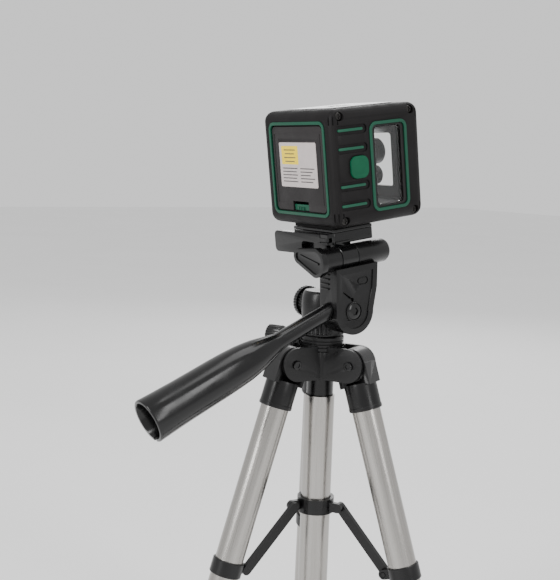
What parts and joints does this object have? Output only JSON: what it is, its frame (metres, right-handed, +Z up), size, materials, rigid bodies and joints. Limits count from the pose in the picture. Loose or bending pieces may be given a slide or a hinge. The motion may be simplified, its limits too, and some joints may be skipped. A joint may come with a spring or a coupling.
{
  "type": "laser level on tripod",
  "caption": "Cube-shaped cross-line laser level on a light folding tripod with a pan and tilt head, handle and sliding column.",
  "frame": {"origin": "on the ground, at the middle of the object's footprint box", "axes": "+Z up; the laser's battery door and the pan handle face -Y; its button and side window face +X"},
  "size_m": [0.1874, 0.196, 0.3944],
  "materials": {
    "rubber_black": "fine matt",
    "plastic_black": "satin",
    "door_black": "fine matt",
    "trim_green": "satin",
    "aluminium": "satin",
    "steel": "turned",
    "brass": "satin",
    "label": "printed film, no lettering",
    "panel_grey": "glossy",
    "vial_green": "clear fluid",
    "window_clear": "clear"
  },
  "bodies": {
    "tripod": {"spider": "plastic_black", "guide_tube": "aluminium", "column_collar": "plastic_black"},
    "column_lock": {"column_lock_knob": "plastic_black"},
    "column": {"column_tube": "aluminium"},
    "brace_ring": {"brace_ring": "plastic_black"},
    "pan": {"pan_base": "plastic_black"},
    "pan_lock": {"pan_knob": "plastic_black"},
    "tilt": {"tilt_body": "plastic_black"},
    "tilt_lock": {"tilt_knob": "plastic_black", "tilt_axle": "steel"},
    "handle": {"pan_handle": "plastic_black", "handle_stud": "steel"},
    "flip_lock": {"flip_wing": "plastic_black", "flip_axle": "steel"},
    "flip": {"platform": "plastic_black"},
    "lever": {"release_lever": "plastic_black"},
    "plate": {"mount_plate": "plastic_black", "mount_pad": "rubber_black"},
    "plate_screw": {"mount_screw": "steel"},
    "laser": {"laser_casing": "rubber_black", "casing_top_panel": "panel_grey", "bubble_vial": "vial_green", "rear_trim": "trim_green", "window_trim_right": "trim_green", "window_trim_left": "trim_green", "window_pane_right": "window_clear", "window_pane_left": "window_clear"},
    "button": {"mode_button": "trim_green"},
    "door": {"battery_door": "door_black", "rating_label": "label"},
    "latch": {"door_latch": "trim_green"},
    "gimbal": {"gimbal_ring": "brass"},
    "pendulum": {"pendulum_frame": "brass", "laser_module_upper": "plastic_black", "laser_module_lower": "plastic_black"},
    "leg_1": {"leg_1_casting": "plastic_black", "leg_1_upper_tube": "aluminium"},
    "leg_1_upper_lock": {"leg_1_upper_nut": "plastic_black"},
    "leg_1_middle": {"leg_1_middle_tube": "aluminium"},
    "leg_1_lower_lock": {"leg_1_lower_nut": "plastic_black"},
    "leg_1_lower": {"leg_1_lower_tube": "aluminium", "leg_1_foot": "rubber_black"},
    "leg_1_brace": {"leg_1_strut": "plastic_black"},
    "leg_2": {"leg_2_casting": "plastic_black", "leg_2_upper_tube": "aluminium"},
    "leg_2_upper_lock": {"leg_2_upper_nut": "plastic_black"},
    "leg_2_middle": {"leg_2_middle_tube": "aluminium"},
    "leg_2_lower_lock": {"leg_2_lower_nut": "plastic_black"},
    "leg_2_lower": {"leg_2_lower_tube": "aluminium", "leg_2_foot": "rubber_black"},
    "leg_2_brace": {"leg_2_strut": "plastic_black"},
    "leg_3": {"leg_3_casting": "plastic_black", "leg_3_upper_tube": "aluminium"},
    "leg_3_upper_lock": {"leg_3_upper_nut": "plastic_black"},
    "leg_3_middle": {"leg_3_middle_tube": "aluminium"},
    "leg_3_lower_lock": {"leg_3_lower_nut": "plastic_black"},
    "leg_3_lower": {"leg_3_lower_tube": "aluminium", "leg_3_foot": "rubber_black"},
    "leg_3_brace": {"leg_3_strut": "plastic_black"}
  },
  "joints": [
    {"name": "column_slide", "type": "slide", "parent": "tripod", "child": "column", "axis": [0, 0, 1], "range_m": [0, 0.1]},
    {"name": "column_lock_turn", "type": "hinge", "parent": "tripod", "child": "column_lock", "pos_m": [-0.00372, 0.03371, 0.2517], "axis": [-0.9015, -0.4329, 0], "range_deg": [-90, 180]},
    {"name": "brace_ring_slide", "type": "slide", "parent": "tripod", "child": "brace_ring", "axis": [0, 0, 1], "range_m": [0, 0.012]},
    {"name": "pan_turn", "type": "hinge", "parent": "column", "child": "pan", "pos_m": [-0.00372, 0.03371, 0.2374], "axis": [0, 0, 1], "range_deg": [-180, 180]},
    {"name": "pan_lock_turn", "type": "hinge", "parent": "pan", "child": "pan_lock", "pos_m": [-0.00372, 0.03371, 0.2614], "axis": [0, 1, 0], "range_deg": [-90, 180]},
    {"name": "tilt", "type": "hinge", "parent": "pan", "child": "tilt", "pos_m": [-0.00372, 0.03521, 0.2734], "axis": [1, 0, 0], "range_deg": [-75, 12]},
    {"name": "tilt_lock_turn", "type": "hinge", "parent": "tilt", "child": "tilt_lock", "pos_m": [-0.00372, 0.03521, 0.2734], "axis": [1, 0, 0], "range_deg": [-90, 180]},
    {"name": "handle_turn", "type": "hinge", "parent": "tilt", "child": "handle", "pos_m": [0.01678, 0.02305, 0.27375], "axis": [0, 0.9135, 0.4067], "range_deg": [-90, 180]},
    {"name": "flip", "type": "hinge", "parent": "tilt", "child": "flip", "pos_m": [0.01678, 0.031, 0.30411], "axis": [0, 0.9907, 0.1357], "range_deg": [0, 90]},
    {"name": "flip_lock_turn", "type": "hinge", "parent": "tilt", "child": "flip_lock", "pos_m": [0.01678, 0.031, 0.30411], "axis": [0, 0.9907, 0.1357], "range_deg": [-60, 60]},
    {"name": "release_lever_swing", "type": "hinge", "parent": "flip", "child": "lever", "pos_m": [0.01248, 0.02208, 0.31399], "axis": [0, -0.1357, 0.9907], "range_deg": [0, 40]},
    {"name": "plate_lift", "type": "slide", "parent": "flip", "child": "plate", "axis": [0, -0.1357, 0.9907], "range_m": [0, 0.004]},
    {"name": "screw_turn", "type": "hinge", "parent": "plate", "child": "plate_screw", "pos_m": [-0.00372, 0.04462, 0.27469], "axis": [0, -0.1357, 0.9907], "range_deg": [-180, 180]},
    {"name": "laser_unscrew", "type": "hinge", "parent": "plate", "child": "laser", "pos_m": [-0.00372, 0.04462, 0.27469], "axis": [0, -0.1357, 0.9907], "range_deg": [-180, 180]},
    {"name": "button_press", "type": "slide", "parent": "laser", "child": "button", "axis": [-1, 0, 0], "range_m": [0, 0.0012], "stiffness_N_per_m": 900, "springref_m": -0.0008},
    {"name": "door_open", "type": "hinge", "parent": "laser", "child": "door", "pos_m": [-0.00372, 0.01051, 0.37489], "axis": [-1, 0, 0], "range_deg": [0, 95]},
    {"name": "latch_press", "type": "slide", "parent": "door", "child": "latch", "axis": [0, -0.1357, 0.9907], "range_m": [0, 0.0012], "stiffness_N_per_m": 500, "springref_m": -0.0006},
    {"name": "gimbal_pitch", "type": "hinge", "parent": "laser", "child": "gimbal", "pos_m": [-0.00372, 0.05326, 0.37893], "axis": [1, 0, 0], "range_deg": [-4, 4]},
    {"name": "pendulum_roll", "type": "hinge", "parent": "gimbal", "child": "pendulum", "pos_m": [-0.00372, 0.05326, 0.37893], "axis": [0, 0.9907, 0.1357], "range_deg": [-4, 4]},
    {"name": "leg_1_fold", "type": "hinge", "parent": "tripod", "child": "leg_1", "pos_m": [-0.00546, 0.01088, 0.2404], "axis": [0.9971, -0.0758, 0], "range_deg": [0, 13]},
    {"name": "leg_1_middle_slide", "type": "slide", "parent": "leg_1", "child": "leg_1_middle", "axis": [-0.0226, -0.2965, -0.9548], "range_m": [0, 0.165]},
    {"name": "leg_1_upper_lock_turn", "type": "hinge", "parent": "leg_1", "child": "leg_1_upper_lock", "pos_m": [-0.00546, 0.01088, 0.2404], "axis": [0.0226, 0.2965, 0.9548], "range_deg": [-90, 90]},
    {"name": "leg_1_lower_slide", "type": "slide", "parent": "leg_1_middle", "child": "leg_1_lower", "axis": [-0.0226, -0.2965, -0.9548], "range_m": [0, 0.165]},
    {"name": "leg_1_lower_lock_turn", "type": "hinge", "parent": "leg_1_middle", "child": "leg_1_lower_lock", "pos_m": [-0.00546, 0.01088, 0.2404], "axis": [0.0226, 0.2965, 0.9548], "range_deg": [-90, 90]},
    {"name": "leg_1_brace_turn", "type": "hinge", "parent": "leg_1", "child": "leg_1_brace", "pos_m": [-0.00737, -0.01419, 0.11731], "axis": [0.9971, -0.0758, 0], "range_deg": [0, 26.27]},
    {"name": "leg_2_fold", "type": "hinge", "parent": "tripod", "child": "leg_2", "pos_m": [0.01692, 0.04362, 0.2404], "axis": [-0.4329, 0.9015, 0], "range_deg": [0, 13]},
    {"name": "leg_2_middle_slide", "type": "slide", "parent": "leg_2", "child": "leg_2_middle", "axis": [0.2681, 0.1287, -0.9548], "range_m": [0, 0.165]},
    {"name": "leg_2_upper_lock_turn", "type": "hinge", "parent": "leg_2", "child": "leg_2_upper_lock", "pos_m": [0.01692, 0.04362, 0.2404], "axis": [-0.2681, -0.1287, 0.9548], "range_deg": [-90, 90]},
    {"name": "leg_2_lower_slide", "type": "slide", "parent": "leg_2_middle", "child": "leg_2_lower", "axis": [0.2681, 0.1287, -0.9548], "range_m": [0, 0.165]},
    {"name": "leg_2_lower_lock_turn", "type": "hinge", "parent": "leg_2_middle", "child": "leg_2_lower_lock", "pos_m": [0.01692, 0.04362, 0.2404], "axis": [-0.2681, -0.1287, 0.9548], "range_deg": [-90, 90]},
    {"name": "leg_2_brace_turn", "type": "hinge", "parent": "leg_2", "child": "leg_2_brace", "pos_m": [0.03959, 0.05451, 0.11731], "axis": [-0.4329, 0.9015, 0], "range_deg": [0, 26.27]},
    {"name": "leg_3_fold", "type": "hinge", "parent": "tripod", "child": "leg_3", "pos_m": [-0.02263, 0.04663, 0.2404], "axis": [-0.5642, -0.8256, 0], "range_deg": [0, 13]},
    {"name": "leg_3_middle_slide", "type": "slide", "parent": "leg_3", "child": "leg_3_middle", "axis": [-0.2455, 0.1678, -0.9548], "range_m": [0, 0.165]},
    {"name": "leg_3_upper_lock_turn", "type": "hinge", "parent": "leg_3", "child": "leg_3_upper_lock", "pos_m": [-0.02263, 0.04663, 0.2404], "axis": [0.2455, -0.1678, 0.9548], "range_deg": [-90, 90]},
    {"name": "leg_3_lower_slide", "type": "slide", "parent": "leg_3_middle", "child": "leg_3_lower", "axis": [-0.2455, 0.1678, -0.9548], "range_m": [0, 0.165]},
    {"name": "leg_3_lower_lock_turn", "type": "hinge", "parent": "leg_3_middle", "child": "leg_3_lower_lock", "pos_m": [-0.02263, 0.04663, 0.2404], "axis": [0.2455, -0.1678, 0.9548], "range_deg": [-90, 90]},
    {"name": "leg_3_brace_turn", "type": "hinge", "parent": "leg_3", "child": "leg_3_brace", "pos_m": [-0.04339, 0.06082, 0.11731], "axis": [-0.5642, -0.8256, 0], "range_deg": [0, 26.27]}
  ],
  "couplings": [
    {"joint": "leg_1_brace_turn", "follows": "leg_1_fold", "ratio": 2.0054},
    {"joint": "leg_2_fold", "follows": "leg_1_fold", "ratio": 1},
    {"joint": "leg_2_brace_turn", "follows": "leg_1_fold", "ratio": 2.0054},
    {"joint": "leg_3_fold", "follows": "leg_1_fold", "ratio": 1},
    {"joint": "leg_3_brace_turn", "follows": "leg_1_fold", "ratio": 2.0054},
    {"joint": "brace_ring_slide", "follows": "leg_1_fold", "m_per_rad": 0.050033}
  ]
}
